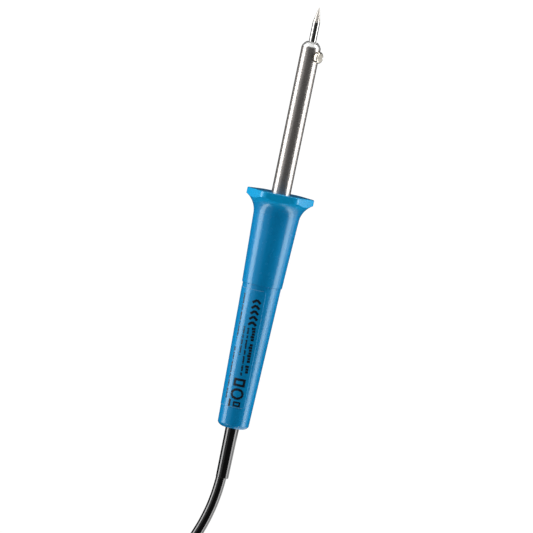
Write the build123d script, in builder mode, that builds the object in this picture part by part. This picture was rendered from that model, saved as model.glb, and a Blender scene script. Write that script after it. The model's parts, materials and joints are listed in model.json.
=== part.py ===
"""Mains soldering iron with a flanged two-piece handle, and its lead hanked and tied behind it.

Frame: the iron lies at rest, one flat of its six-sided flange and the end of its handle on z = 0.
+X points along the table towards the tip and +Z up. The origin is under the middle of the iron.
Stations named AT_... are distances from the handle's rear end along the iron's own tilted axis.
"""

import os
from math import atan2, cos, degrees, pi, radians, sin, tan

from build123d import *

os.makedirs("parts", exist_ok=True)

# Tip, nose bush and barrel
AT_TIP_REAR, AT_CONE, AT_APEX = 145.5, 213.2, 220.9
TIP_R, APEX_R, TIP_BORE_R = 1.90, 0.30, 1.97
AT_BARREL_REAR, AT_BARREL_FRONT = 105.2, 200.2
BARREL_R, BARREL_WALL, EDGE_BREAK = 5.0, 0.4, 0.15
AT_BUSH_REAR, AT_NOSE, NOSE_R = 186.0, 203.1, 2.75
AT_SCREW, SCREW_ANGLE, SCREW_R = 195.8, 146.7, 1.5
SCREW_HEAD_R, SCREW_HEAD_H, SLOT_W, SLOT_D = 3.0, 1.8, 0.8, 0.9

# Heater, inside the barrel
AT_CORE_REAR, AT_COIL_REAR, AT_COIL_FRONT = 142.0, 148.0, 184.0
CORE_R, COIL_R, COIL_WIRE, COIL_TURNS = 2.6, 2.87, 0.5, 24
LEAD_OFFSET, LEAD_R = 3.1, 0.45

# Handle: front grip with a six-sided flange, and rear grip screwed into it
AT_FLANGE, FLANGE_FLAT, FLANGE_CORNER = 123.6, 15.85, 5.0
AT_FLARE, FLARE_FOOT_R, FLARE_ARC_R = 110.7, 11.9, 11.3
AT_JOINT, FRONT_LIP_R, REAR_LIP_R = 75.3, 10.5, 10.05
AT_END_CORNER, END_CORNER_R, END_FACE_R = 2.0, 8.15, 4.2
AT_SPIGOT, SPIGOT_R, THREAD_GAP = 90.0, 8.7, 0.08
AT_SHOULDER, FRONT_BORE_R = 108.0, 8.4
REAR_BORE_R, CLAMP_BORE_R, END_WALL = 6.9, 6.6, 6.0

# Rating label wrapped round part of the rear grip
AT_LABEL_REAR, AT_LABEL_FRONT, LABEL_ANGLE, LABEL_WIDTH = 11.2, 73.0, 51.5, 19.6
LABEL_GAP, LABEL_T = 0.02, 0.13

# Mains lead
CORD_R = 2.8
AT_SHEATH = 32.0
SLEEVE_LENGTH, SLEEVE_R, SLEEVE_END_R, SLEEVE_BORE = 26.5, 3.55, 3.35, 2.95
HANK_NEAR, HANK_Y, HANK_LOOP_GAP, HANK_LOOP_R = 68.0, -2.0, 84.0, 25.2
HANK_WAIST, HANK_HEIGHT, TIE_T, TIE_WIDTH, TIE_GAP = 11.2, 12.4, 1.2, 8.0, 0.05

# Moulded three-pin plug with a fuse, lying on its back
PLUG_NEAR, PLUG_Y, PLUG_T, PLUG_CORD_Z = 235.0, -2.0, 21.0, 9.0
PIN_PITCH, EARTH_OFFSET, PIN_LENGTH, EARTH_LENGTH = 22.2, 22.2, 17.7, 22.7
GUARD_LENGTH, GUARD_IN = 20.0, 2.0

# The rest attitude follows from the flange's flat and the handle's end corner
AT_FLAT_REAR = AT_FLARE + (FLARE_ARC_R**2 - (FLARE_FOOT_R + FLARE_ARC_R - FLANGE_FLAT) ** 2) ** 0.5
TILT = atan2(FLANGE_FLAT - END_CORNER_R, AT_FLAT_REAR - AT_END_CORNER)
END_X = -(AT_APEX * cos(TILT) - END_FACE_R * sin(TILT)) / 2
END_Z = END_CORNER_R * cos(TILT) - AT_END_CORNER * sin(TILT)
FORWARD = Vector(cos(TILT), 0, sin(TILT))

IRON = Plane(origin=(END_X, 0, END_Z), x_dir=FORWARD, z_dir=(0, -1, 0))
IRON_AXIS = Axis((END_X, 0, END_Z), FORWARD)


def across(station):
    """The plane square to the iron's axis at a station: local x is +Y, local y is up."""
    return Plane(origin=IRON.from_local_coords((station, 0, 0)), x_dir=(0, 1, 0), z_dir=FORWARD)


def turned(*outline, mode=Mode.ADD):
    """Revolves a closed outline of (station, radius) points about the iron's axis."""
    with BuildSketch(IRON, mode=Mode.PRIVATE) as section:
        with BuildLine():
            Polyline(*outline, close=True)
        make_face()
    revolve(section.sketch, axis=IRON_AXIS, mode=mode)


def ring(rear, front, inner, outer, mode=Mode.ADD):
    """A tube of square section round the iron's axis."""
    turned((rear, inner), (rear, outer), (front, outer), (front, inner), mode=mode)


def rods(rear, front, radius, places, mode=Mode.ADD):
    """Round rods along the iron's axis, at (side, up) places."""
    with BuildSketch(across(rear), mode=Mode.PRIVATE) as section:
        with Locations(*places):
            Circle(radius)
    extrude(section.sketch, amount=front - rear, mode=mode)


def corner_radii(points):
    """For each inner point, 0.45 of the shorter run over the tangent of half the turn."""
    points = [Vector(*p) for p in points]
    radii = []
    for before, here, after in zip(points, points[1:], points[2:]):
        run_in, run_out = here - before, after - here
        half_turn = radians(run_in.get_angle(run_out)) / 2
        radii.append(0.45 * min(run_in.length, run_out.length) / tan(half_turn))
    return radii


def swept_cord(points, radius, name):
    """A round cord along straight runs joined by tangent arcs."""
    radii = corner_radii(points)
    with BuildLine(mode=Mode.PRIVATE) as path:
        FilletPolyline(*points, radius=radii)
    route = path.wires()[0]
    start = Plane(origin=route @ 0, z_dir=route % 0)
    with BuildSketch(start, mode=Mode.PRIVATE) as section:
        Circle(radius)
    sweep(section.sketch, path=route)
    print(name, "radii", [round(r) for r in radii], "length", round(route.length, 1))


def finish(builder, label):
    """Names a finished piece and writes it."""
    builder.part.label = label
    export_step(builder.part, f"parts/{label}.step")


# ---------------------------------------------------------------- tip and barrel

with BuildPart() as tip:
    with BuildSketch(IRON):
        with BuildLine():
            shank = Polyline((AT_APEX, 0), (AT_TIP_REAR, 0), (AT_TIP_REAR, TIP_R - 0.3),
                             (AT_TIP_REAR + 0.3, TIP_R), (AT_CONE, TIP_R))
            point = Line(shank @ 1, (AT_APEX - APEX_R, APEX_R))
            RadiusArc(point @ 1, (AT_APEX, 0), APEX_R)
        make_face()
    revolve(axis=IRON_AXIS)
finish(tip, "tip")

screw_direction = (IRON.z_dir * -cos(radians(SCREW_ANGLE))) + IRON.y_dir * sin(radians(SCREW_ANGLE))
screw_seat = IRON.from_local_coords((AT_SCREW, 0, 0)) + screw_direction * (BARREL_R + 0.05)
SCREW_PLANE = Plane(origin=screw_seat, x_dir=FORWARD, z_dir=screw_direction)
screw_reach = BARREL_R + 0.05 - TIP_R - 0.1

with BuildPart() as tip_screw:
    with BuildSketch(SCREW_PLANE):
        Circle(SCREW_HEAD_R)
    extrude(amount=SCREW_HEAD_H)
    fillet(tip_screw.edges().group_by(Axis(screw_seat, screw_direction))[-1], 0.7)
    with BuildSketch(SCREW_PLANE):
        Circle(SCREW_R)
    extrude(amount=-screw_reach)
    with BuildSketch(SCREW_PLANE.offset(SCREW_HEAD_H - SLOT_D)):
        Rectangle(SLOT_W, 3 * SCREW_HEAD_R)
    extrude(amount=SLOT_D + 1, mode=Mode.SUBTRACT)
finish(tip_screw, "tip_screw")

with BuildPart() as nose_bush:
    with BuildSketch(IRON):
        with BuildLine():
            stem = Polyline((AT_NOSE, TIP_BORE_R), (AT_BUSH_REAR, TIP_BORE_R),
                            (AT_BUSH_REAR, BARREL_R - BARREL_WALL - 0.03),
                            (AT_BARREL_FRONT, BARREL_R - BARREL_WALL - 0.03),
                            (AT_BARREL_FRONT, BARREL_R - 0.05), (AT_BARREL_FRONT + 0.2, BARREL_R - 0.05))
            nose = ThreePointArc(stem @ 1, (AT_BARREL_FRONT + 1.75, 4.0), (AT_NOSE, NOSE_R))
            Line(nose @ 1, stem @ 0)
        make_face()
    revolve(axis=IRON_AXIS)
    ring(AT_BUSH_REAR - 1, AT_BUSH_REAR + 3, 0.5, CORE_R + 0.03, mode=Mode.SUBTRACT)
    with BuildSketch(SCREW_PLANE):
        Circle(SCREW_R + 0.05)
    extrude(amount=-BARREL_R, mode=Mode.SUBTRACT)
finish(nose_bush, "nose_bush")

with BuildPart() as barrel:
    wall_r = BARREL_R - BARREL_WALL
    turned((AT_BARREL_REAR, wall_r), (AT_BARREL_REAR, BARREL_R), (AT_BARREL_FRONT - EDGE_BREAK, BARREL_R),
           (AT_BARREL_FRONT, BARREL_R - EDGE_BREAK), (AT_BARREL_FRONT, wall_r))
    with BuildSketch(SCREW_PLANE.offset(1)):
        Circle(SCREW_R + 0.2)
    extrude(amount=-BARREL_R, mode=Mode.SUBTRACT)
finish(barrel, "barrel")

# ---------------------------------------------------------------- heater

with BuildPart() as core_tube:
    turned((AT_CORE_REAR, 0), (AT_CORE_REAR, CORE_R), (AT_BUSH_REAR + 3, CORE_R),
           (AT_BUSH_REAR + 3, TIP_BORE_R), (AT_CORE_REAR + 1.5, TIP_BORE_R), (AT_CORE_REAR + 1.5, 0))
finish(core_tube, "core_tube")

with BuildPart() as inner_mica:
    ring(AT_COIL_REAR, AT_COIL_FRONT, CORE_R + 0.02, COIL_R - 0.02)
finish(inner_mica, "inner_mica")

with BuildPart() as heater_winding:
    pitch = (AT_COIL_FRONT - AT_COIL_REAR) / COIL_TURNS
    ridges = []
    for turn in range(COIL_TURNS):
        foot = AT_COIL_REAR + turn * pitch
        ridges += [(foot, COIL_R + 0.2), (foot + 0.3 * pitch, COIL_R + COIL_WIRE),
                   (foot + 0.7 * pitch, COIL_R + COIL_WIRE)]
    turned((AT_COIL_REAR, COIL_R), *ridges, (AT_COIL_FRONT, COIL_R + 0.2), (AT_COIL_FRONT, COIL_R))
finish(heater_winding, "heater_winding")

with BuildPart() as outer_mica:
    ring(AT_COIL_REAR, AT_COIL_FRONT, COIL_R + COIL_WIRE + 0.03, COIL_R + COIL_WIRE + 0.3)
finish(outer_mica, "outer_mica")

LEAD_PLACES = [(-LEAD_OFFSET, 0), (LEAD_OFFSET, 0)]
with BuildPart() as rear_insulator:
    ring(127.0, AT_CORE_REAR - 1, 0.8, BARREL_R - BARREL_WALL - 0.05)
    rods(126.0, AT_CORE_REAR, LEAD_R + 0.1, LEAD_PLACES, mode=Mode.SUBTRACT)
finish(rear_insulator, "rear_insulator")

with BuildPart() as heater_leads:
    rods(68.0, AT_COIL_REAR, LEAD_R, LEAD_PLACES)
finish(heater_leads, "heater_leads")

with BuildPart() as lead_sleeves:
    rods(80.0, 126.0, 0.9, LEAD_PLACES)
    rods(80.0, 126.0, LEAD_R + 0.05, LEAD_PLACES, mode=Mode.SUBTRACT)
finish(lead_sleeves, "lead_sleeves")

# ---------------------------------------------------------------- handle

COLLAR_SCREW_R, COLLAR_HEAD_R, COLLAR_SCREW_PCR = 0.9, 1.4, 6.7
collar_places = [(COLLAR_SCREW_PCR * cos(radians(a)), COLLAR_SCREW_PCR * sin(radians(a)))
                 for a in (90, 210, 330)]
AT_COLLAR, LUG_T = AT_SHOULDER - 3.0, 0.6

with BuildPart() as front_grip:
    with BuildSketch(IRON):
        with BuildLine():
            blank_r = FLANGE_FLAT / cos(pi / 6) + 0.5
            flare_depth = FLARE_FOOT_R + FLARE_ARC_R - blank_r
            at_rim = AT_FLARE + (FLARE_ARC_R**2 - flare_depth**2) ** 0.5
            lip = Polyline((AT_FLANGE, blank_r), (AT_FLANGE, BARREL_R + 0.15),
                           (AT_SHOULDER, BARREL_R + 0.15), (AT_SHOULDER, FRONT_BORE_R),
                           (AT_SPIGOT + 1, FRONT_BORE_R), (AT_SPIGOT + 1, SPIGOT_R + THREAD_GAP),
                           (AT_JOINT, SPIGOT_R + THREAD_GAP), (AT_JOINT, FRONT_LIP_R - 0.3))
            roll = RadiusArc(lip @ 1, (AT_JOINT + 0.35, FRONT_LIP_R), 0.4, short_sagitta=True)
            grip = Line(roll @ 1, (AT_FLARE, FLARE_FOOT_R))
            flare = RadiusArc(grip @ 1, (at_rim, blank_r), -FLARE_ARC_R)
            Line(flare @ 1, lip @ 0)
        make_face()
    revolve(axis=IRON_AXIS)
    with BuildSketch(across(AT_JOINT - 1)):
        RegularPolygon(FLANGE_FLAT, 6, major_radius=False)
        fillet(vertices(), FLANGE_CORNER)
    extrude(amount=AT_FLANGE - AT_JOINT + 2, mode=Mode.INTERSECT)
    front_rim = front_grip.faces().filter_by(lambda f: f.is_planar).sort_by(IRON_AXIS)[-1]
    fillet(front_rim.outer_wire().edges(), 0.45)
    rods(AT_SHOULDER - 1, AT_SHOULDER + 6, COLLAR_SCREW_R + 0.05, collar_places, mode=Mode.SUBTRACT)
finish(front_grip, "front_grip")

BOSS_REAR, BOSS_FRONT, CLAMP_REAR, CLAMP_FRONT, CLAMP_SCREW_Y = 14.0, 26.0, 16.0, 24.0, 3.4
clamp_mid = (CLAMP_REAR + CLAMP_FRONT) / 2
UP_FROM_AXIS = Plane(origin=IRON.from_local_coords((clamp_mid, 0, 0)), x_dir=FORWARD, z_dir=IRON.y_dir)

with BuildPart() as rear_grip:
    with BuildSketch(IRON):
        with BuildLine():
            inside = Polyline((0, SLEEVE_R + 0.05), (END_WALL, SLEEVE_R + 0.05),
                              (END_WALL, CLAMP_BORE_R), (30, CLAMP_BORE_R), (31, REAR_BORE_R),
                              (AT_SPIGOT, REAR_BORE_R), (AT_SPIGOT, SPIGOT_R - 0.5),
                              (AT_SPIGOT - 0.5, SPIGOT_R), (AT_JOINT, SPIGOT_R), (AT_JOINT, REAR_LIP_R))
            taper = Line(inside @ 1, (AT_END_CORNER, END_CORNER_R))
            dome = ThreePointArc(taper @ 1, (0.5, 6.7), (0, END_FACE_R))
            Line(dome @ 1, inside @ 0)
        make_face()
    revolve(axis=IRON_AXIS)
    with BuildSketch(across(BOSS_REAR)):
        Circle(CLAMP_BORE_R + 0.3)
        with Locations((0, CLAMP_BORE_R)):
            Rectangle(4 * CLAMP_BORE_R, 2 * CLAMP_BORE_R, mode=Mode.SUBTRACT)
        Circle(CORD_R + 0.04, mode=Mode.SUBTRACT)
    extrude(amount=BOSS_FRONT - BOSS_REAR)
    with BuildSketch(UP_FROM_AXIS):
        with Locations((0, CLAMP_SCREW_Y), (0, -CLAMP_SCREW_Y)):
            Circle(0.6)
    extrude(amount=-4.2, mode=Mode.SUBTRACT)
finish(rear_grip, "rear_grip")

with BuildPart() as rating_label:
    slope = (REAR_LIP_R - END_CORNER_R) / (AT_JOINT - AT_END_CORNER)
    rear_r = END_CORNER_R + slope * (AT_LABEL_REAR - AT_END_CORNER)
    front_r = END_CORNER_R + slope * (AT_LABEL_FRONT - AT_END_CORNER)
    turned((AT_LABEL_REAR, rear_r + LABEL_GAP), (AT_LABEL_FRONT, front_r + LABEL_GAP),
           (AT_LABEL_FRONT, front_r + LABEL_GAP + LABEL_T), (AT_LABEL_REAR, rear_r + LABEL_GAP + LABEL_T))
    label_direction = (IRON.z_dir * -cos(radians(LABEL_ANGLE))) + IRON.y_dir * sin(radians(LABEL_ANGLE))
    rear_half = rear_r * sin(LABEL_WIDTH / 2 / rear_r)
    front_half = front_r * sin(LABEL_WIDTH / 2 / front_r)
    with BuildSketch(Plane(origin=IRON.origin, x_dir=FORWARD, z_dir=label_direction)):
        with BuildLine():
            Polyline((AT_LABEL_REAR, rear_half), (AT_LABEL_FRONT, front_half),
                     (AT_LABEL_FRONT, -front_half), (AT_LABEL_REAR, -rear_half), close=True)
        make_face()
        fillet(vertices(), 1.2)
    extrude(amount=REAR_LIP_R + 2, mode=Mode.INTERSECT)
finish(rating_label, "rating_label")

with BuildPart() as barrel_collar:
    ring(AT_COLLAR, AT_SHOULDER, BARREL_R + 0.02, FRONT_BORE_R - 0.05)
    rods(AT_COLLAR - 1, AT_SHOULDER + 1, COLLAR_SCREW_R + 0.05, collar_places, mode=Mode.SUBTRACT)
finish(barrel_collar, "barrel_collar")

with BuildPart() as collar_screws:
    for place, lift in zip(collar_places, (LUG_T, 0, 0)):
        rods(AT_COLLAR - lift - 1.2, AT_COLLAR - lift, COLLAR_HEAD_R, [place])
        rods(AT_COLLAR - lift, AT_SHOULDER + 5, COLLAR_SCREW_R, [place])
finish(collar_screws, "collar_screws")

with BuildPart() as earth_lug:
    with BuildSketch(across(AT_COLLAR - LUG_T)):
        with Locations(collar_places[0]):
            Circle(1.6)
        with Locations((0, 4.2)):
            Rectangle(1.8, 2.4)
        with Locations(collar_places[0]):
            Circle(COLLAR_SCREW_R + 0.05, mode=Mode.SUBTRACT)
    extrude(amount=LUG_T)
finish(earth_lug, "earth_lug")

# ---------------------------------------------------------------- wiring inside the handle

BLOCK_REAR, BLOCK_FRONT, BLOCK_W, BLOCK_H = 58.0, 74.0, 9.6, 7.4
POLES = [(-LEAD_OFFSET, 0), (0, 0), (LEAD_OFFSET, 0)]
SLEEVE_OUT, SLEEVE_IN, GRUB_R = 1.35, 0.95, 0.8
block_mid = (BLOCK_REAR + BLOCK_FRONT) / 2
block_top = Plane(origin=IRON.from_local_coords((block_mid, BLOCK_H / 2, 0)),
                  x_dir=FORWARD, z_dir=IRON.y_dir)
grub_places = [(along, side) for along in (-4.5, 4.5) for side, _ in POLES]

with BuildPart() as terminal_block:
    with BuildSketch(across(BLOCK_REAR)):
        RectangleRounded(BLOCK_W, BLOCK_H, 0.8)
    extrude(amount=BLOCK_FRONT - BLOCK_REAR)
    rods(BLOCK_REAR - 1, BLOCK_FRONT + 1, SLEEVE_OUT + 0.03, POLES, mode=Mode.SUBTRACT)
    with BuildSketch(block_top):
        with Locations(*grub_places):
            Circle(GRUB_R + 0.25)
    extrude(amount=-BLOCK_H / 2, mode=Mode.SUBTRACT)
finish(terminal_block, "terminal_block")

with BuildPart() as terminal_sleeves:
    rods(BLOCK_REAR + 1.5, BLOCK_FRONT - 1.5, SLEEVE_OUT, POLES)
    rods(BLOCK_REAR, BLOCK_FRONT, SLEEVE_IN, POLES, mode=Mode.SUBTRACT)
    with BuildSketch(block_top):
        with Locations(*grub_places):
            Circle(GRUB_R + 0.04)
    extrude(amount=-BLOCK_H / 2, mode=Mode.SUBTRACT)
finish(terminal_sleeves, "terminal_sleeves")

with BuildPart() as terminal_screws:
    with BuildSketch(block_top.offset(-0.4)):
        with Locations(*grub_places):
            Circle(GRUB_R)
    extrude(amount=-(BLOCK_H / 2 - 0.4 - LEAD_R - 0.06))
finish(terminal_screws, "terminal_screws")


def conductor(side, far_station, name):
    """An insulated core that fans out from the sheath to its pole, with a bare end."""
    insulation_r, start = 0.85, 0.58 * side
    route = [(AT_SHEATH, start), (AT_SHEATH + 5, start), (BLOCK_REAR - 7, side), (BLOCK_REAR, side)]
    with BuildPart() as core:
        if side:
            points = [IRON.from_local_coords((station, 0, place)) for station, place in route]
            swept_cord([tuple(p) for p in points], insulation_r, name)
        else:
            rods(AT_SHEATH, BLOCK_REAR, insulation_r, [(0, 0)])
        rods(BLOCK_REAR, far_station, LEAD_R, [(-side, 0)])
    finish(core, name)


conductor(LEAD_OFFSET, 65.0, "line_conductor")
conductor(-LEAD_OFFSET, 65.0, "neutral_conductor")
conductor(0.0, 65.0, "earth_conductor")

with BuildPart() as earth_lead:
    lug_height = 4.2
    climb = [(BLOCK_FRONT, 0), (BLOCK_FRONT + 7, 0), (AT_COLLAR - 9, lug_height), (AT_COLLAR - LUG_T, lug_height)]
    swept_cord([tuple(IRON.from_local_coords((a, h, 0))) for a, h in climb], 0.7, "earth_lead")
    rods(67.0, BLOCK_FRONT, LEAD_R, [(0, 0)])
finish(earth_lead, "earth_lead")

with BuildPart() as cord_tail:
    rods(0, AT_SHEATH, CORD_R, [(0, 0)])
finish(cord_tail, "cord_tail")

with BuildPart() as cord_clamp:
    with BuildSketch(across(CLAMP_REAR)):
        with Locations((0, 2.35)):
            Rectangle(9.0, 4.1)
        Circle(CORD_R + 0.02, mode=Mode.SUBTRACT)
    extrude(amount=CLAMP_FRONT - CLAMP_REAR)
    with BuildSketch(UP_FROM_AXIS):
        with Locations((0, CLAMP_SCREW_Y), (0, -CLAMP_SCREW_Y)):
            Circle(0.58)
    extrude(amount=6, mode=Mode.SUBTRACT)
    with BuildSketch(UP_FROM_AXIS.offset(3.2)):
        with Locations((0, CLAMP_SCREW_Y), (0, -CLAMP_SCREW_Y)):
            Circle(1.08)
    extrude(amount=6, mode=Mode.SUBTRACT)
finish(cord_clamp, "cord_clamp")

with BuildPart() as clamp_screws:
    with BuildSketch(UP_FROM_AXIS.offset(-4.0)):
        with Locations((0, CLAMP_SCREW_Y), (0, -CLAMP_SCREW_Y)):
            Circle(0.55)
    extrude(amount=7.2)
    with BuildSketch(UP_FROM_AXIS.offset(3.2)):
        with Locations((0, CLAMP_SCREW_Y), (0, -CLAMP_SCREW_Y)):
            Circle(1.0)
    extrude(amount=1.1)
finish(clamp_screws, "clamp_screws")

# ---------------------------------------------------------------- strain relief and lead

with BuildPart() as strain_relief:
    turned((-SLEEVE_LENGTH, SLEEVE_BORE), (-SLEEVE_LENGTH, SLEEVE_END_R - 0.15),
           (-SLEEVE_LENGTH + 0.2, SLEEVE_END_R), (0, SLEEVE_R), (END_WALL, SLEEVE_R),
           (END_WALL, 5.4), (END_WALL + 2.2, 5.4), (END_WALL + 2.2, CORD_R + 0.03),
           (0, CORD_R + 0.03))
finish(strain_relief, "strain_relief")

# Points of the free lead as (distance behind the handle, +Y, height)
LEAD_ROUTE = [(0, 0, END_Z), (17, 0, END_Z - 17 * tan(TILT)), (35, 0.8, 4.9), (50, 4.4, 2.95),
              (64, 11.4, CORD_R), (79, 17.6, CORD_R), (96, 20.3, CORD_R), (112, 15.6, CORD_R)]
RIDGE_NEAR, RIDGE_FAR, RIDGE_Z = HANK_NEAR + 40.0, HANK_NEAR + 106.0, 14.45
PLUG_ROUTE = [(RIDGE_FAR, HANK_Y, RIDGE_Z), (RIDGE_FAR + 18, HANK_Y + 0.6, RIDGE_Z),
              (PLUG_NEAR - 21, PLUG_Y, 10.0), (PLUG_NEAR + GUARD_IN, PLUG_Y, PLUG_CORD_Z)]


def behind(points):
    """Turns distances behind the handle into places in the frame."""
    return [(END_X - back, side, height) for back, side, height in points]


with BuildPart() as cord_lead:
    swept_cord(behind(LEAD_ROUTE), CORD_R, "cord_lead")
finish(cord_lead, "cord_lead")

with BuildPart() as plug_lead:
    swept_cord(behind(PLUG_ROUTE), CORD_R, "plug_lead")
finish(plug_lead, "plug_lead")

hank_x = END_X - HANK_NEAR - HANK_LOOP_R - HANK_LOOP_GAP / 2
half_gap = HANK_LOOP_GAP / 2
HANK_PLANE = Plane.XY.move(Location((hank_x, HANK_Y, 0)))


def tied_section(base, inset, width):
    """The outline of the bundle where the tie goes round it: two layers of turns and the top run."""
    strand_r = CORD_R - inset
    start = Plane(origin=(hank_x - width / 2, HANK_Y, 0), x_dir=(0, 1, 0), z_dir=(1, 0, 0))
    side = HANK_WAIST - CORD_R
    with BuildSketch(start, mode=Mode.PRIVATE) as outline:
        with Locations(*[(y, z) for y in (-side, side) for z in (base + CORD_R, base + 3 * CORD_R)],
                       (0, RIDGE_Z)):
            Circle(strand_r)
        make_hull()
    return outline.sketch


with BuildPart() as cord_hank:
    with BuildSketch(HANK_PLANE):
        with Locations((half_gap, 0), (-half_gap, 0)):
            Circle(HANK_LOOP_R)
        with BuildLine():
            Polyline((half_gap, HANK_LOOP_R), (6, HANK_WAIST), (-6, HANK_WAIST), (-half_gap, HANK_LOOP_R),
                     (-half_gap, -HANK_LOOP_R), (-6, -HANK_WAIST), (6, -HANK_WAIST),
                     (half_gap, -HANK_LOOP_R), close=True)
        make_face()
    extrude(amount=HANK_HEIGHT)
    with BuildSketch(HANK_PLANE):
        Rectangle(TIE_WIDTH + 0.4, 4 * HANK_WAIST)
    extrude(amount=HANK_HEIGHT, mode=Mode.SUBTRACT)
    extrude(tied_section(TIE_T, TIE_GAP, TIE_WIDTH + 0.4), amount=TIE_WIDTH + 0.4)
    with BuildSketch(Plane(origin=(END_X - RIDGE_FAR, HANK_Y, RIDGE_Z), z_dir=(1, 0, 0))):
        Circle(CORD_R)
    extrude(amount=RIDGE_FAR - RIDGE_NEAR)
finish(cord_hank, "cord_hank")

with BuildPart() as cord_tie:
    extrude(tied_section(TIE_T, -TIE_T, TIE_WIDTH), amount=TIE_WIDTH)
    extrude(tied_section(TIE_T, 0, TIE_WIDTH), amount=TIE_WIDTH, mode=Mode.SUBTRACT)
finish(cord_tie, "cord_tie")

# ---------------------------------------------------------------- plug

line_x = END_X - PLUG_NEAR - 15.0
PLUG_TOP = Plane.XY.move(Location((line_x, PLUG_Y, PLUG_T)))
LINE_PIN, EARTH_PIN, PIN_ROOT = (4.0, 6.35), (7.95, 4.0), 10.0
SLEEVED, CORE_STEP, FACE_T, FACE_INSET = 9.0, 0.5, 2.0, 4.0
POCKET, POCKET_X, POCKET_D, CARRIER_GAP = (28.0, 10.4), -2.3, 14.6, 0.2
FUSE_R, FUSE_LENGTH, FUSE_CAP = 3.15, 25.4, 5.8
GUARD_R, GROOVE = 5.15, 0.8
fuse_z = PLUG_T - 2.2 - FUSE_R - 0.25


def plug_outline(inset=0.0):
    """The plug's outline seen from its pins, with rounded corners."""
    with BuildSketch(PLUG_TOP, mode=Mode.PRIVATE) as outline:
        with BuildLine():
            side = [(-33.7, 13.0), (-25.0, 20.5), (2.0, 24.6), (12.0, 22.0), (15.0, 12.0)]
            Polyline(*side, *[(x, -y) for x, y in reversed(side)], close=True)
        make_face()
        fillet(outline.vertices(), 5.0)
        if inset:
            offset(amount=-inset, mode=Mode.REPLACE)
    return outline.sketch


with BuildPart() as plug_body:
    extrude(plug_outline(), amount=-PLUG_T, taper=5)
    fillet(plug_body.faces().sort_by(Axis.Z)[0].edges(), 2.4)
    fillet(plug_body.faces().sort_by(Axis.Z)[-1].edges(), 0.8)
    extrude(plug_outline(FACE_INSET), amount=-FACE_T, mode=Mode.SUBTRACT)
    with BuildSketch(PLUG_TOP):
        with Locations((POCKET_X, 0)):
            Rectangle(*POCKET)
    extrude(amount=-POCKET_D, mode=Mode.SUBTRACT)
    with BuildSketch(PLUG_TOP.offset(PIN_ROOT - PLUG_T)):
        with Locations((0, PIN_PITCH / 2), (0, -PIN_PITCH / 2)):
            Rectangle(*LINE_PIN)
        with Locations((-EARTH_OFFSET, 0)):
            Rectangle(*EARTH_PIN)
    extrude(amount=PLUG_T, mode=Mode.SUBTRACT)
    with BuildSketch(Plane(origin=(END_X - PLUG_NEAR - GUARD_IN, PLUG_Y, PLUG_CORD_Z), z_dir=(1, 0, 0))):
        Circle(GUARD_R + 0.05)
    extrude(amount=20, mode=Mode.SUBTRACT)
finish(plug_body, "plug_body")

with BuildPart() as plug_face:
    extrude(plug_outline(FACE_INSET + 0.03), amount=-FACE_T)
    with BuildSketch(PLUG_TOP):
        with Locations((POCKET_X, 0)):
            Rectangle(*POCKET)
        with Locations((0, PIN_PITCH / 2), (0, -PIN_PITCH / 2)):
            Rectangle(*LINE_PIN)
        with Locations((-EARTH_OFFSET, 0)):
            Rectangle(*EARTH_PIN)
    extrude(amount=-2 * FACE_T, mode=Mode.SUBTRACT)
finish(plug_face, "plug_face")


def live_pin(side, name):
    """A line or neutral pin: full section in the body and at the tip, waisted for its sleeve."""
    with BuildPart() as pin:
        with BuildSketch(PLUG_TOP.offset(PIN_ROOT - PLUG_T)):
            with Locations((0, side)):
                Rectangle(*LINE_PIN)
        extrude(amount=PLUG_T - PIN_ROOT + PIN_LENGTH)
        chamfer(pin.faces().sort_by(Axis.Z)[-1].edges(), 0.9)
        with BuildSketch(PLUG_TOP):
            with Locations((0, side)):
                Rectangle(LINE_PIN[0] + 1, LINE_PIN[1] + 1)
                Rectangle(LINE_PIN[0] - 2 * CORE_STEP, LINE_PIN[1] - 2 * CORE_STEP, mode=Mode.SUBTRACT)
        extrude(amount=SLEEVED, mode=Mode.SUBTRACT)
    finish(pin, name)


live_pin(-PIN_PITCH / 2, "line_pin")
live_pin(PIN_PITCH / 2, "neutral_pin")

with BuildPart() as earth_pin:
    with BuildSketch(PLUG_TOP.offset(PIN_ROOT - PLUG_T)):
        with Locations((-EARTH_OFFSET, 0)):
            Rectangle(*EARTH_PIN)
    extrude(amount=PLUG_T - PIN_ROOT + EARTH_LENGTH)
    chamfer(earth_pin.faces().sort_by(Axis.Z)[-1].edges(), 1.1)
finish(earth_pin, "earth_pin")

with BuildPart() as pin_sleeves:
    with BuildSketch(PLUG_TOP):
        with Locations((0, PIN_PITCH / 2), (0, -PIN_PITCH / 2)):
            Rectangle(*LINE_PIN)
            Rectangle(LINE_PIN[0] - 2 * CORE_STEP, LINE_PIN[1] - 2 * CORE_STEP, mode=Mode.SUBTRACT)
    extrude(amount=SLEEVED)
finish(pin_sleeves, "pin_sleeves")

with BuildPart() as plug_guard:
    guard_root, guard_front = END_X - PLUG_NEAR - GUARD_IN, GUARD_LENGTH + GUARD_IN
    with BuildSketch(Plane(origin=(guard_root, PLUG_Y, PLUG_CORD_Z), x_dir=(1, 0, 0), z_dir=(0, -1, 0))):
        with BuildLine():
            outer = [(0, GUARD_R)]
            for rib in range(5):
                start, fall = 4.0 + 3.4 * rib, 0.26 * rib
                outer += [(start, GUARD_R - fall), (start + 0.5, GUARD_R - GROOVE - fall),
                          (start + 1.5, GUARD_R - GROOVE - fall), (start + 2.0, GUARD_R - fall)]
            Polyline((0, CORD_R + 0.04), *outer, (guard_front, 3.9), (guard_front, CORD_R + 0.3),
                     (guard_front - 6, CORD_R + 0.04), close=True)
        make_face()
    revolve(axis=Axis((guard_root, PLUG_Y, PLUG_CORD_Z), (1, 0, 0)))
finish(plug_guard, "plug_guard")

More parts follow.
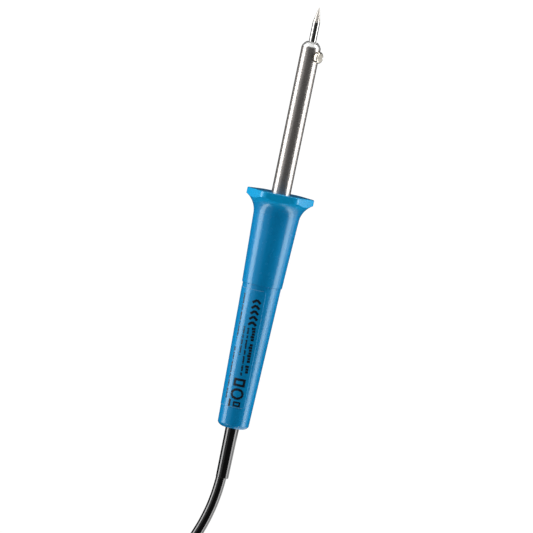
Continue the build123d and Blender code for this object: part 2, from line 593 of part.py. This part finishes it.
with BuildPart() as fuse_carrier:
    with BuildSketch(PLUG_TOP):
        with Locations((POCKET_X, 0)):
            Rectangle(POCKET[0] - 2 * CARRIER_GAP, POCKET[1] - 2 * CARRIER_GAP)
    extrude(amount=-2.2)
    with BuildSketch(PLUG_TOP):
        with Locations((POCKET_X + 13.3, 0), (POCKET_X - 13.3, 0)):
            Rectangle(1.0, 7.0)
    extrude(amount=-9.6)
    with BuildSketch(PLUG_TOP):
        with Locations((POCKET_X + 10.5, 0)):
            Rectangle(1.2, 6.5)
    extrude(amount=-0.7, mode=Mode.SUBTRACT)
finish(fuse_carrier, "fuse_carrier")

FUSE_START = Plane(origin=(line_x + POCKET_X - FUSE_LENGTH / 2, PLUG_Y, fuse_z), z_dir=(1, 0, 0))
with BuildPart() as fuse:
    with BuildSketch(FUSE_START.offset(FUSE_CAP)):
        Circle(FUSE_R - 0.12)
    extrude(amount=FUSE_LENGTH - 2 * FUSE_CAP)
finish(fuse, "fuse")

with BuildPart() as fuse_caps:
    for start in (0, FUSE_LENGTH - FUSE_CAP):
        with BuildSketch(FUSE_START.offset(start)):
            Circle(FUSE_R)
        extrude(amount=FUSE_CAP)
finish(fuse_caps, "fuse_caps")

with BuildPart() as fuse_clips:
    clip_t, clip_length, arm = 0.5, 5.0, FUSE_R + 0.15
    clip_floor = PLUG_T - POCKET_D
    for clip_x in (line_x + POCKET_X - 10.0, line_x + POCKET_X + 10.0):
        with BuildSketch(Plane(origin=(clip_x - clip_length / 2, PLUG_Y, 0), x_dir=(0, 1, 0), z_dir=(1, 0, 0))):
            with Locations((0, (clip_floor + fuse_z) / 2)):
                Rectangle(2 * (arm + clip_t), fuse_z - clip_floor)
            with Locations((0, (clip_floor + clip_t + fuse_z + 1) / 2)):
                Rectangle(2 * arm, fuse_z + 1 - clip_floor - clip_t, mode=Mode.SUBTRACT)
        extrude(amount=clip_length)
finish(fuse_clips, "fuse_clips")

print("tilt", round(degrees(TILT), 3), "end", round(END_X, 3), round(END_Z, 3), "cord", pi * CORD_R**2)
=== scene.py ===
"""Looks of the soldering iron: materials, label print, lead, hank and studio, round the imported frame."""

import json
from math import atan2, cos, pi, radians, sin, tan

import bmesh
import bpy
from mathutils import Matrix, Vector


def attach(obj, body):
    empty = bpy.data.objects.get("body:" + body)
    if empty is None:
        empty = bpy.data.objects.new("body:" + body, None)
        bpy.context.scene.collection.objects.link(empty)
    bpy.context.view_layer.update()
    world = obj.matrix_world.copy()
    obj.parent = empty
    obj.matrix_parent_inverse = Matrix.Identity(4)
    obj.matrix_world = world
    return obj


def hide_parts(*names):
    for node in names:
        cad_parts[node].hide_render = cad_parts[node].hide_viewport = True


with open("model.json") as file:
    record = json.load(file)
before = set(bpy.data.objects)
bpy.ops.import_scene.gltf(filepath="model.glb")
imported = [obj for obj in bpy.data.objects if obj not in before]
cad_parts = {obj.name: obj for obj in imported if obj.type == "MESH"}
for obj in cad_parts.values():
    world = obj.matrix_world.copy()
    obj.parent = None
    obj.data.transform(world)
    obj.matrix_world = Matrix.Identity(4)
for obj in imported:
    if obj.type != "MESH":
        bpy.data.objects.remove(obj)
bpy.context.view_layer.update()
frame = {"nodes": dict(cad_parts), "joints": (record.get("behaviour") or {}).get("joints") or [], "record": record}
NODES = frame["nodes"]
MM = 0.001

# ---------------------------------------------------------------- the iron's own axis, from the frame
# Stations and radii are in mm, and places in metres.

joints = {joint["name"]: joint for joint in frame["joints"]}
mounts = {mount["name"]: mount for mount in frame["record"]["mounts"]}
FORWARD = Vector(joints["tip_slide"]["axis"]).normalized()
TILT = atan2(FORWARD.z, FORWARD.x)
UP = Vector((-FORWARD.z, 0, FORWARD.x))
SIDE = Vector((0, 1, 0))
FLANGE_STATION = 123.6  # the front of the flange, from the handle's rear end
flange_centre = Vector(mounts["flange_front"]["pos_m"])
flange_centre -= SIDE * flange_centre.y


def station(along, radius=0.0, angle=0.0):
    """A place by its distance from the handle's rear end, its radius, and its angle from +Y towards up."""
    centre = flange_centre + FORWARD * (along - FLANGE_STATION) * MM
    return centre + (SIDE * cos(angle) + UP * sin(angle)) * radius * MM


HANDLE_END = station(0)
AXIS_HEIGHT = HANDLE_END.dot(UP)

# ---------------------------------------------------------------- camera, looking straight down

CAMERA_DISTANCE, VIEW_WIDTH = 2.0, 0.2745
SENSOR_WIDTH, CLIP_END = 36.0, 20.0
IMAGE_ROLL = radians(11.72)
AIM_STATION, AIM_LEFT = 85.2, -0.36

toward = Vector((0, 0, 1))
along_view = Vector((1, 0, 0))
right_of_axis = along_view.cross(toward)
image_up = along_view * cos(IMAGE_ROLL) - right_of_axis * sin(IMAGE_ROLL)
image_right = along_view * sin(IMAGE_ROLL) + right_of_axis * cos(IMAGE_ROLL)
aim = station(AIM_STATION) + SIDE * AIM_LEFT * MM

camera_data = bpy.data.cameras.new("camera")
camera = bpy.data.objects.new("camera", camera_data)
bpy.context.scene.collection.objects.link(camera)
camera_data.sensor_width = SENSOR_WIDTH
camera_data.lens = SENSOR_WIDTH * CAMERA_DISTANCE / VIEW_WIDTH
camera_data.clip_end = CLIP_END
camera_basis = Matrix((image_right, image_up, toward)).transposed().to_4x4()
camera.matrix_world = Matrix.Translation(aim + toward * CAMERA_DISTANCE) @ camera_basis
bpy.context.scene.camera = camera
bpy.context.scene.view_settings.view_transform = "Standard"

# ---------------------------------------------------------------- shader helpers

NOISE_RANGE = (0.3, 0.7)  # where most of a noise's values lie


class Shader:
    """Builds a node material: a Principled shader and the nodes that feed it."""

    def __init__(self, name, **sockets):
        self.material = bpy.data.materials.new(name)
        self.material.use_nodes = True
        self.tree = self.material.node_tree
        self.principled = self.tree.nodes["Principled BSDF"]
        self.coords = self.tree.nodes.new("ShaderNodeTexCoord").outputs["Object"]
        for socket, value in sockets.items():
            self.principled.inputs[socket.replace("_", " ")].default_value = value

    def node(self, kind, inputs=None, **settings):
        """Adds a node. Inputs are sockets to link or values to set."""
        made = self.tree.nodes.new("ShaderNode" + kind)
        for key, value in settings.items():
            setattr(made, key, value)
        for key, value in (inputs or {}).items():
            if isinstance(value, bpy.types.NodeSocket):
                self.tree.links.new(value, made.inputs[key])
            else:
                made.inputs[key].default_value = value
        return made

    def stretched(self, x=1.0, y=1.0, z=1.0):
        """Object coordinates turned to the iron's axis, then stretched."""
        turn = self.node("Mapping", {"Vector": self.coords, "Rotation": (0, TILT, 0)})
        return self.node("Mapping", {"Vector": turn.outputs[0], "Scale": (x, y, z)}).outputs[0]

    def from_axis(self):
        """Distance from the iron's axis."""
        across = self.node("VectorMath", {0: self.stretched(x=0), 1: (0, 0, AXIS_HEIGHT)},
                           operation="SUBTRACT")
        return self.node("VectorMath", {0: across.outputs[0]}, operation="LENGTH").outputs["Value"]

    def place(self, direction):
        """Where a point lies along X, Y or Z."""
        return self.node("SeparateXYZ", {"Vector": self.coords}).outputs[direction]

    def noise(self, scale, detail=3.0, coords=None, roughness=0.5):
        inputs = {"Vector": coords or self.coords, "Scale": scale, "Detail": detail,
                  "Roughness": roughness}
        return self.node("TexNoise", inputs).outputs["Fac"]

    def clouded(self, cloud, dark, pale):
        """A colour that drifts between two with a noise, over the middle of the noise's range."""
        made = self.node("ValToRGB", {"Fac": cloud})
        for element, position, colour in zip(made.color_ramp.elements, NOISE_RANGE, (dark, pale)):
            element.position = position
            element.color = (*colour, 1)
        return made.outputs["Color"]

    def between(self, value, low, high, start=NOISE_RANGE[0], end=NOISE_RANGE[1]):
        """A number that goes from low to high while a value goes from start to end."""
        inputs = {"Value": value, "From Min": start, "From Max": end, "To Min": low, "To Max": high}
        return self.node("MapRange", inputs).outputs["Result"]

    def mix(self, factor, a, b):
        """Goes from colour a to colour b with a factor."""
        made = self.node("Mix", {"Factor": factor}, data_type="RGBA")
        for key, value in ((6, a), (7, b)):
            if isinstance(value, bpy.types.NodeSocket):
                self.tree.links.new(value, made.inputs[key])
            else:
                made.inputs[key].default_value = (*value, 1)
        return made.outputs[2]

    def set(self, socket, value):
        """Feeds one of the Principled shader's sockets."""
        self.tree.links.new(value, self.principled.inputs[socket])

    def bump(self, height, distance):
        """Raises the surface by up to a distance in metres."""
        made = self.node("Bump", {"Height": height, "Distance": distance, "Strength": 1.0})
        self.set("Normal", made.outputs["Normal"])


def dress(material, *names):
    """Gives CAD nodes this material."""
    for name in names:
        mesh = NODES[name].data
        mesh.materials.clear()
        mesh.materials.append(material)


# ---------------------------------------------------------------- materials

# Where the flange's painted light starts, as a radius from the axis in mm, and how far it blends in
FLANGE_STARTS_R, FLANGE_BLEND = 13.0, 2.5
POINT_STATION, POINT_BLEND = 213.2, 0.1
POINT_COLOUR, POINT_ROUGHNESS = (0.74, 0.70, 0.65), 0.34
MICRON = 0.000001


def shade(colour, share):
    """The same colour, darker."""
    return [part * share for part in colour]


def moulded_blue(name, grain):
    """Glossy blue moulding with a fine grain, with painted light: a paler blue on the flange."""
    s = Shader(name, Roughness=0.24, Coat_Weight=0.4, Coat_Roughness=0.16,
               Coat_Tint=(0.85, 1, 1, 1), Specular_Tint=(0.8, 1, 1, 1))
    cloud = s.noise(60.0)
    body = s.clouded(cloud, (0.000, 0.234, 0.525), (0.000, 0.256, 0.570))
    # Painted light: the flange gets a paler blue than the body, for its brighter look
    flange = s.clouded(cloud, (0.000, 0.350, 0.700), (0.000, 0.380, 0.755))
    on_flange_painted_light = s.between(s.from_axis(), 0.0, 1.0,
                          FLANGE_STARTS_R * MM, (FLANGE_STARTS_R + FLANGE_BLEND) * MM)
    s.set("Base Color", s.mix(on_flange_painted_light, body, flange))
    s.set("Roughness", s.between(s.noise(350.0), 0.20, 0.29))
    s.bump(s.noise(1400.0, detail=2.0), grain)
    return s.material


def turned_steel(name, colour, roughness, lines, edge=0.35, metallic=1.0, pointed=False):
    """Bright steel with fine lines round the axis, duller seen edge on. A tip has a rougher point."""
    s = Shader(name, Metallic=metallic, Roughness=roughness, Specular_Tint=(edge, edge, edge, 1))
    fine = s.noise(1.0, detail=4.0, coords=s.stretched(9000, 300, 300), roughness=0.7)
    if pointed:
        cone_x = station(POINT_STATION).x
        blend = (cone_x - POINT_BLEND * MM, cone_x + POINT_BLEND * MM)
        ahead = s.place("X")
        s.set("Base Color", s.mix(s.between(ahead, 0.0, 1.0, *blend), colour, POINT_COLOUR))
        s.set("Roughness", s.between(ahead, roughness, POINT_ROUGHNESS, *blend))
    else:
        s.set("Base Color", s.clouded(s.noise(90.0), shade(colour, 0.93), colour))
        s.set("Roughness", s.between(fine, roughness * 0.8, roughness * 1.25))
    s.bump(fine, lines)
    return s.material


def plain_metal(name, colour, roughness):
    """Metal with a mottled tone and gloss."""
    s = Shader(name, Metallic=1.0, Roughness=roughness)
    cloud = s.noise(200.0, detail=4.0)
    s.set("Base Color", s.clouded(cloud, shade(colour, 0.85), colour))
    s.set("Roughness", s.between(cloud, roughness * 0.8, roughness * 1.3))
    s.bump(s.noise(1800.0), 4 * MICRON)
    return s.material


def plastic(name, colour, roughness, grain=10 * MICRON, scale=1500.0):
    """Plastic, ceramic, cloth or ink: a mottled tone and gloss, and a grain of some size."""
    s = Shader(name, Roughness=roughness)
    s.set("Base Color", s.clouded(s.noise(120.0), shade(colour, 0.85), colour))
    s.set("Roughness", s.between(s.noise(500.0), roughness * 0.85, roughness * 1.15))
    s.bump(s.noise(scale, detail=2.0), grain)
    return s.material


def sheath(name):
    """Smooth, glossy black lead sheath."""
    s = Shader(name, Coat_Weight=1.0, Coat_Roughness=0.10, Specular_IOR_Level=0.7)
    s.set("Base Color", s.clouded(s.noise(150.0), (0.001, 0.001, 0.001), (0.003, 0.003, 0.003)))
    s.set("Roughness", s.between(s.noise(400.0), 0.12, 0.19))
    s.bump(s.noise(900.0), 12 * MICRON)
    return s.material


blue_front = moulded_blue("blue_front", 7 * MICRON)
blue_rear = moulded_blue("blue_rear", 2 * MICRON)
tip_plate = turned_steel("tip_plate", (0.60, 0.60, 0.59), 0.05, 0.5 * MICRON, edge=0.02, pointed=True)
nose_steel = turned_steel("nose_steel", (0.86, 0.86, 0.85), 0.40, 2 * MICRON, edge=1.0)
barrel_steel = turned_steel("barrel_steel", (0.62, 0.585, 0.56), 0.29, 2 * MICRON, metallic=0.92)
screw_plate = plain_metal("screw_plate", (0.72, 0.68, 0.60), 0.18)
inner_steel = plain_metal("inner_steel", (0.45, 0.45, 0.46), 0.35)
wire_metal = plain_metal("wire_metal", (0.40, 0.36, 0.33), 0.4)
tinned = plain_metal("tinned", (0.72, 0.68, 0.55), 0.25)
pin_metal = plain_metal("pin_metal", (0.83, 0.68, 0.36), 0.16)
cap_metal = plain_metal("cap_metal", (0.75, 0.74, 0.70), 0.18)
mica = plastic("mica", (0.55, 0.44, 0.28), 0.4)
ceramic = plastic("ceramic", (0.83, 0.80, 0.72), 0.45)
glass_cloth = plastic("glass_cloth", (0.72, 0.68, 0.55), 0.7, 50 * MICRON, 2500.0)
nylon = plastic("nylon", (0.80, 0.78, 0.70), 0.45)
black_nylon = plastic("black_nylon", (0.02, 0.02, 0.02), 0.45)
brown_core = plastic("brown_core", (0.13, 0.045, 0.015), 0.35)
blue_core = plastic("blue_core", (0.01, 0.06, 0.28), 0.35)
green_core = plastic("green_core", (0.12, 0.36, 0.03), 0.35)
plug_black = plastic("plug_black", (0.012, 0.012, 0.012), 0.42, 30 * MICRON, 1100.0)
plug_face_black = plastic("plug_face_black", (0.016, 0.016, 0.016), 0.38, 20 * MICRON, 1300.0)
guard_black = plastic("guard_black", (0.010, 0.010, 0.010), 0.45, 20 * MICRON)
pin_black = plastic("pin_black", (0.014, 0.014, 0.014), 0.3)
carrier_red = plastic("carrier_red", (0.42, 0.02, 0.012), 0.32)
strap_black = plastic("strap_black", (0.015, 0.015, 0.015), 0.7, 120 * MICRON, 1600.0)
black_sheath = sheath("black_sheath")

dress(blue_front, "front_grip")
dress(blue_rear, "rear_grip", "rating_label")
dress(tip_plate, "tip")
dress(nose_steel, "nose_bush")
dress(barrel_steel, "barrel")
dress(screw_plate, "tip_screw", "terminal_screws", "collar_screws", "clamp_screws")
dress(inner_steel, "core_tube", "barrel_collar")
dress(wire_metal, "heater_winding", "heater_leads")
dress(tinned, "earth_lug", "terminal_sleeves", "fuse_clips")
dress(pin_metal, "earth_pin", "line_pin", "neutral_pin")
dress(cap_metal, "fuse_caps")
dress(mica, "inner_mica", "outer_mica")
dress(ceramic, "rear_insulator", "fuse")
dress(glass_cloth, "lead_sleeves")
dress(nylon, "terminal_block")
dress(black_nylon, "cord_clamp")
dress(brown_core, "line_conductor")
dress(blue_core, "neutral_conductor")
dress(green_core, "earth_conductor", "earth_lead")
dress(black_sheath, "cord_tail", "strain_relief")
dress(plug_black, "plug_body")
dress(plug_face_black, "plug_face")
dress(guard_black, "plug_guard")
dress(pin_black, "pin_sleeves")
dress(carrier_red, "fuse_carrier")
dress(strap_black, "cord_tie")

# ---------------------------------------------------------------- print on the rating label and painted highlights on its edges, in mm

LABEL_REAR, LABEL_FRONT, LABEL_TURN, LABEL_HALF_WIDTH = 11.2, 73.0, radians(-38.5), 9.8
REAR_R_AT_LABEL, LABEL_TAPER, INK_T = 8.538, 0.02592, 0.03
# The painted edge highlights: their inset from the film's rear and front edges, their width, and their inset from
# its sides
EDGE_INSET, EDGE_WIDTH, EDGE_END_INSET = 0.16, 0.2, 1.3

CHEVRONS, FIRST_NOSE, CHEVRON_PITCH = 5, 68.0, 2.9
CHEVRON_ACROSS, CHEVRON_LENGTH, CHEVRON_SPREAD, CHEVRON_STROKE = -0.8, 1.7, 2.1, 1.25
# Rows of blocks: start and its arc, end and its arc, block height, blocks in each word
PRINTED_LINES = [(53.6, 0.5, 28.4, 1.2, 1.9, (5, 7, 3, 6)),
                 (53.0, -2.3, 27.6, -1.2, 1.05, (4, 2, 6, 3, 5)),
                 (53.4, -4.6, 38.0, -4.1, 0.85, (6, 3, 4)),
                 (70.0, -8.7, 46.0, -8.0, 1.0, (7, 4, 6, 2)),
                 (42.0, -8.0, 15.0, -7.2, 1.0, (3, 5, 8))]
BLOCK_SHARE, BLOCK_PITCH, WORD_GAP, LOW_BLOCK = 0.62, 1.22, 0.9, 0.78
# Frames: station, arc, length, width, stroke
FRAMES = [(24.4, -1.2, 4.2, 6.2, 1.25), (13.1, -0.4, 2.6, 3.8, 0.8)]
RING_STATION, RING_ACROSS, RING_HALF_LENGTH, RING_HALF_WIDTH, RING_STROKE = 18.4, -1.2, 2.5, 3.1, 1.25
SHORT_BAR = (13.3, -4.4, 3.8, 1.2)  # station, arc, length, width


def label_radius(along):
    """The film's outer radius at a station."""
    return REAR_R_AT_LABEL + LABEL_TAPER * (along - LABEL_REAR)


def label_place(along, across, lift):
    """A place on the label: station, arc from its top line towards -Y, height over the film, in mm."""
    radius = label_radius(along)
    return station(along, radius + lift, pi / 2 + across / radius)


class InkAndHighlights:
    """Closed patches that follow the label's curve, gathered in one mesh: printed ink, and painted edge
    highlights.
    """

    def __init__(self):
        self.build = bmesh.new()

    def strip(self, rows):
        """A closed strip through rows of two (along, across) places, one on each of its sides."""
        rings = []
        for left, right in rows:
            corners = ((left, 0.0), (right, 0.0), (right, INK_T), (left, INK_T))
            rings.append([self.build.verts.new(label_place(*place, lift)) for place, lift in corners])
        for one, two in zip(rings, rings[1:]):
            for side in range(4):
                after = (side + 1) % 4
                self.build.faces.new((one[side], one[after], two[after], two[side]))
        self.build.faces.new(rings[0][::-1])
        self.build.faces.new(rings[-1])

    def bar(self, along, across, length, width, steps=4):
        """A bar centred on a place: length along the iron, width round it."""
        rows = []
        for step in range(steps + 1):
            place = across - width / 2 + width * step / steps
            rows.append(((along - length / 2, place), (along + length / 2, place)))
        self.strip(rows)

    def stroke(self, start, end, thickness, steps=5):
        """A straight stroke of even thickness between two places."""
        run = Vector(end) - Vector(start)
        aside = Vector((-run.y, run.x)).normalized() * thickness / 2
        rows = []
        for step in range(steps + 1):
            here = Vector(start) + run * step / steps
            rows.append((tuple(here - aside), tuple(here + aside)))
        self.strip(rows)

    def finish(self, name, material):
        """Makes the gathered patches a piece that rides on the iron."""
        bmesh.ops.recalc_face_normals(self.build, faces=self.build.faces)
        mesh = bpy.data.meshes.new(name)
        self.build.to_mesh(mesh)
        self.build.free()
        mesh.materials.append(material)
        piece = bpy.data.objects.new(name, mesh)
        bpy.context.scene.collection.objects.link(piece)
        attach(piece, "iron")


def printed_line(ink, start, across, end, across_end, height, words):
    """A row of plain blocks in word-like groups, standing for a line of small print."""
    block = height * BLOCK_SHARE
    pitch = block * BLOCK_PITCH
    along, count = start, 0
    while along - block > end:
        for word in words:
            for _ in range(word):
                if along - block <= end:
                    break
                share = (start - along) / (start - end)
                tall = height * (1.0 if count % 3 == 0 else LOW_BLOCK)
                middle_line = across + (across_end - across) * share + (height - tall) / 2
                ink.bar(along - block / 2, middle_line, block, tall, steps=2)
                along -= pitch
                count += 1
            along -= pitch * WORD_GAP


def frame_mark(ink, along, across, length, width, thickness):
    """A plain rectangular frame."""
    for side in (-1, 1):
        ink.bar(along + side * (length - thickness) / 2, across, thickness, width, steps=6)
        ink.bar(along, across + side * (width - thickness) / 2, length - 2 * thickness, thickness,
                steps=2)


dark_ink = plastic("dark_ink", (0.003, 0.008, 0.016), 0.35)
print_marks = InkAndHighlights()
for step in range(CHEVRONS):
    nose = FIRST_NOSE - CHEVRON_PITCH * step
    for side in (-1, 1):
        arm_end = (nose - CHEVRON_LENGTH, CHEVRON_ACROSS + CHEVRON_SPREAD * side)
        print_marks.stroke((nose, CHEVRON_ACROSS), arm_end, CHEVRON_STROKE)
for line in PRINTED_LINES:
    printed_line(print_marks, *line)
for frame_sizes in FRAMES:
    frame_mark(print_marks, *frame_sizes)
ring_points = [(RING_STATION + RING_HALF_LENGTH * cos(radians(turn)),
                RING_ACROSS + RING_HALF_WIDTH * sin(radians(turn))) for turn in range(0, 361, 45)]
for start, end in zip(ring_points, ring_points[1:]):
    print_marks.stroke(start, end, RING_STROKE, steps=2)
print_marks.bar(*SHORT_BAR)
print_marks.finish("label_print", dark_ink)

# Painted highlight: pale lines along the film's front and rear edges, where the edges catch the light
film_edge_painted_highlight = plastic("film_edge_painted_highlight", (0.16, 0.42, 0.66), 0.2)
edge_highlights = InkAndHighlights()
for along in (LABEL_REAR + EDGE_INSET, LABEL_FRONT - EDGE_INSET):
    edge_highlights.bar(along, LABEL_TURN * label_radius(along), EDGE_WIDTH,
               2 * (LABEL_HALF_WIDTH - EDGE_END_INSET), steps=30)
edge_highlights.finish("label_edge_highlights", film_edge_painted_highlight)

# ---------------------------------------------------------------- the lead, in mm

CORD_R = 2.8
# The hank: its middle behind the handle, its place in Y, and from its middle to the centre of its ends
HANK_MIDDLE, HANK_Y, HALF_GAP = 135.2, -2.0, 42.0
INNER_LOOP, OUTER_LOOP, INNER_WAIST, OUTER_WAIST = 17.2, 22.8, 2.8, 8.4
TIE_HALF_LENGTH, TIE_LIFT = 4.0, 1.2
HANK_STATIONS = (-33, -24, -14, -4, 4, 14, 24, 33)
SPLINE_PULL = 0.925  # how far a spline comes inside points set round a circle every 45 degrees
END_HEIGHT, STRAIGHT = HANDLE_END.z / MM, 17.0

# Points as (distance behind the handle, +Y, height), near the CAD route's
LEAD_ROUTE = [(0, 0, END_HEIGHT), (STRAIGHT, 0, END_HEIGHT - STRAIGHT * tan(TILT)), (35, 0.8, 4.9),
              (50, 4.0, 2.95), (64, 9.4, CORD_R), (79, 16.0, CORD_R), (96, 20.3, CORD_R)]
TOP_RUN = [(102, 14.0, 14.0), (111, 10.5, 14.2), (121, 5.0, 14.4), (131, 0.0, 14.6), (141, -2.0, 14.6)]
PLUG_ROUTE = [(155, -2.0, 14.4), (174, -2.0, 14.45), (192, -1.4, 14.45), (214, -2.0, 10.0),
              (237, -2.0, 9.0)]


def hank_side(loop, waist, height, direction, skip=0):
    """One run of the hank, from one end to the other: drawn in at the tie and lifted on it."""
    points = []
    for along in HANK_STATIONS[skip:]:
        spread = max(0.0, (abs(along) - TIE_HALF_LENGTH) / (HALF_GAP - TIE_HALF_LENGTH))
        offset = waist + (loop - waist) * (1 - cos(pi * spread)) / 2
        lift = TIE_LIFT * (1 + cos(pi * along / HALF_GAP)) / 2
        points.append((HANK_MIDDLE + direction * along, HANK_Y + direction * offset, height + lift))
    return points


def hank_end(loop, next_loop, height, next_height, direction):
    """Half a turn round one end of the hank, changing to the next loop and layer on the way."""
    points = []
    for step in range(5):
        share = step / 4
        radius = (loop + (next_loop - loop) * share) / SPLINE_PULL
        angle = radians(90 - 45 * step)
        points.append((HANK_MIDDLE + direction * (HALF_GAP + radius * cos(angle)),
                       HANK_Y + direction * radius * sin(angle),
                       height + (next_height - height) * share))
    return points


def hank_route():
    """Four full turns in two layers of two, then half a turn on top that leaves for the plug."""
    waists = {INNER_LOOP: INNER_WAIST, OUTER_LOOP: OUTER_WAIST}
    layer = [CORD_R + 2 * CORD_R * n for n in range(3)]
    turns = [(OUTER_LOOP, layer[0]), (INNER_LOOP, layer[0]),
             (INNER_LOOP, layer[1]), (OUTER_LOOP, layer[1])]
    following = turns[1:] + [(INNER_LOOP, layer[2])]
    points = []
    for number, ((loop, height), (next_loop, next_height)) in enumerate(zip(turns, following)):
        points += hank_side(loop, waists[loop], height, 1, skip=1 if number == 0 else 0)
        points += hank_end(loop, loop, height, height, 1)
        points += hank_side(loop, waists[loop], height, -1)
        points += hank_end(loop, next_loop, height, next_height, -1)
    return points


LEAD_POINTS = LEAD_ROUTE + hank_route() + TOP_RUN + PLUG_ROUTE


def tube_from_route(name, points, radius):
    """A round cord on one smooth spline."""
    curve = bpy.data.curves.new(name, "CURVE")
    curve.dimensions = "3D"
    curve.bevel_depth = radius * MM
    curve.bevel_resolution = 6
    curve.resolution_u = 8
    curve.use_fill_caps = True
    spline = curve.splines.new("NURBS")
    spline.points.add(len(points) - 1)
    for point, (back, side, height) in zip(spline.points, points):
        point.co = (HANDLE_END.x - back * MM, side * MM, height * MM, 1.0)
    spline.order_u = 3
    spline.use_endpoint_u = True
    made = bpy.data.objects.new(name, curve)
    bpy.context.scene.collection.objects.link(made)
    return made


lead = tube_from_route("mains_lead", LEAD_POINTS, CORD_R)
lead.data.materials.append(black_sheath)
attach(lead, "iron")
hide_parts("cord_lead", "cord_hank", "plug_lead")

# ---------------------------------------------------------------- studio

FLOOR_SIZE = 2.5
# How bright the room and the two sides of the floor are to reflections; the camera sees 1.0
REFLECTED_ROOM, FLOOR_LEFT, FLOOR_RIGHT = 0.035, 0.2, 1.1
# The floor's dark strip: its half-width and fade, where its right side stops by the lead, where the
# whole floor goes dark by the tip
STRIP_EDGE, STRIP_FADE = 0.040, 0.025
LEAD_STRIP_RIGHT, LEAD_STRIP_LEFT, LEAD_FADE = -0.002, 0.004, 0.008
DARK_FROM_X, DARK_FADE = 0.086, 0.006
# Two long soft boxes beside the iron from the floor up, a weak one over the left, and one ahead of the
# tip. Each has its centre, the way it faces, its length along the iron and its width, and its power.
SOFT_BOXES = {"left_box": ((0, 0.30, 0.08), (0, -1, 0), (1.5, 0.16), 3.3),
              "right_box": ((0, -0.30, 0.075), (0, 1, 0), (1.5, 0.15), 2.7),
              "left_fill": ((0, 0.26, 0.30), (0, -0.65, -0.75), (1.5, 0.22), 0.22),
              "front_box": ((0.55, 0, 0.40), (-0.75, 0, -0.65), (0.7, 0.5), 1.2)}


def studio_floor():
    """A pale floor that looks white to the camera.

    What the iron reflects of it is dimmer, and dark in a strip along the iron and beside the tip. Behind
    the handle the strip has no right half.
    """
    mesh = bpy.data.meshes.new("floor")
    build = bmesh.new()
    bmesh.ops.create_grid(build, x_segments=1, y_segments=1, size=FLOOR_SIZE)
    build.to_mesh(mesh)
    build.free()
    floor = bpy.data.objects.new("floor", mesh)
    bpy.context.scene.collection.objects.link(floor)
    s = Shader("floor", Roughness=0.9, Base_Color=(0.05, 0.05, 0.05, 1),
               Emission_Color=(1, 1, 1, 1), Specular_IOR_Level=0.0)
    ahead, left = s.place("X"), s.place("Y")
    aside = s.node("Math", {0: left}, operation="ABSOLUTE").outputs[0]
    floor_light = s.between(left, FLOOR_RIGHT, FLOOR_LEFT, -STRIP_EDGE, STRIP_EDGE)
    reflected = s.between(aside, 0.0, floor_light, STRIP_EDGE, STRIP_EDGE + STRIP_FADE)
    by_the_lead = s.between(left, FLOOR_RIGHT, reflected, LEAD_STRIP_RIGHT, LEAD_STRIP_LEFT)
    reflected = s.between(ahead, by_the_lead, reflected, HANDLE_END.x - LEAD_FADE, HANDLE_END.x)
    reflected = s.between(ahead, reflected, 0.0, DARK_FROM_X, DARK_FROM_X + DARK_FADE)
    seen = s.node("LightPath").outputs["Is Camera Ray"]
    s.set("Emission Strength", s.between(seen, reflected, 1.0, 0.0, 1.0))
    mesh.materials.append(s.material)


def soft_box(name, centre, facing, size, power):
    """An area light that the camera doesn't see, its length as near the iron's axis as it can be."""
    data = bpy.data.lights.new(name, "AREA")
    data.shape = "RECTANGLE"
    data.size, data.size_y = size
    data.energy = power
    light = bpy.data.objects.new(name, data)
    bpy.context.scene.collection.objects.link(light)
    light.visible_camera = False
    back = -Vector(facing).normalized()
    light_x = (FORWARD - back * FORWARD.dot(back)).normalized()
    light_y = back.cross(light_x)
    light_basis = Matrix((light_x, light_y, back)).transposed().to_4x4()
    light.matrix_world = Matrix.Translation(centre) @ light_basis


def studio_world():
    """A dim room that looks white to the camera."""
    world = bpy.data.worlds.new("studio")
    bpy.context.scene.world = world
    world.use_nodes = True
    nodes, links = world.node_tree.nodes, world.node_tree.links
    background = nodes["Background"]
    background.inputs["Color"].default_value = (*[REFLECTED_ROOM] * 3, 1)
    backdrop = nodes.new("ShaderNodeBackground")
    backdrop.inputs["Color"].default_value = (1, 1, 1, 1)
    path = nodes.new("ShaderNodeLightPath")
    mix = nodes.new("ShaderNodeMixShader")
    links.new(path.outputs["Is Camera Ray"], mix.inputs["Fac"])
    links.new(background.outputs[0], mix.inputs[1])
    links.new(backdrop.outputs[0], mix.inputs[2])
    links.new(mix.outputs[0], nodes["World Output"].inputs["Surface"])


studio_floor()
studio_world()
for box_name, settings in SOFT_BOXES.items():
    soft_box(box_name, *settings)
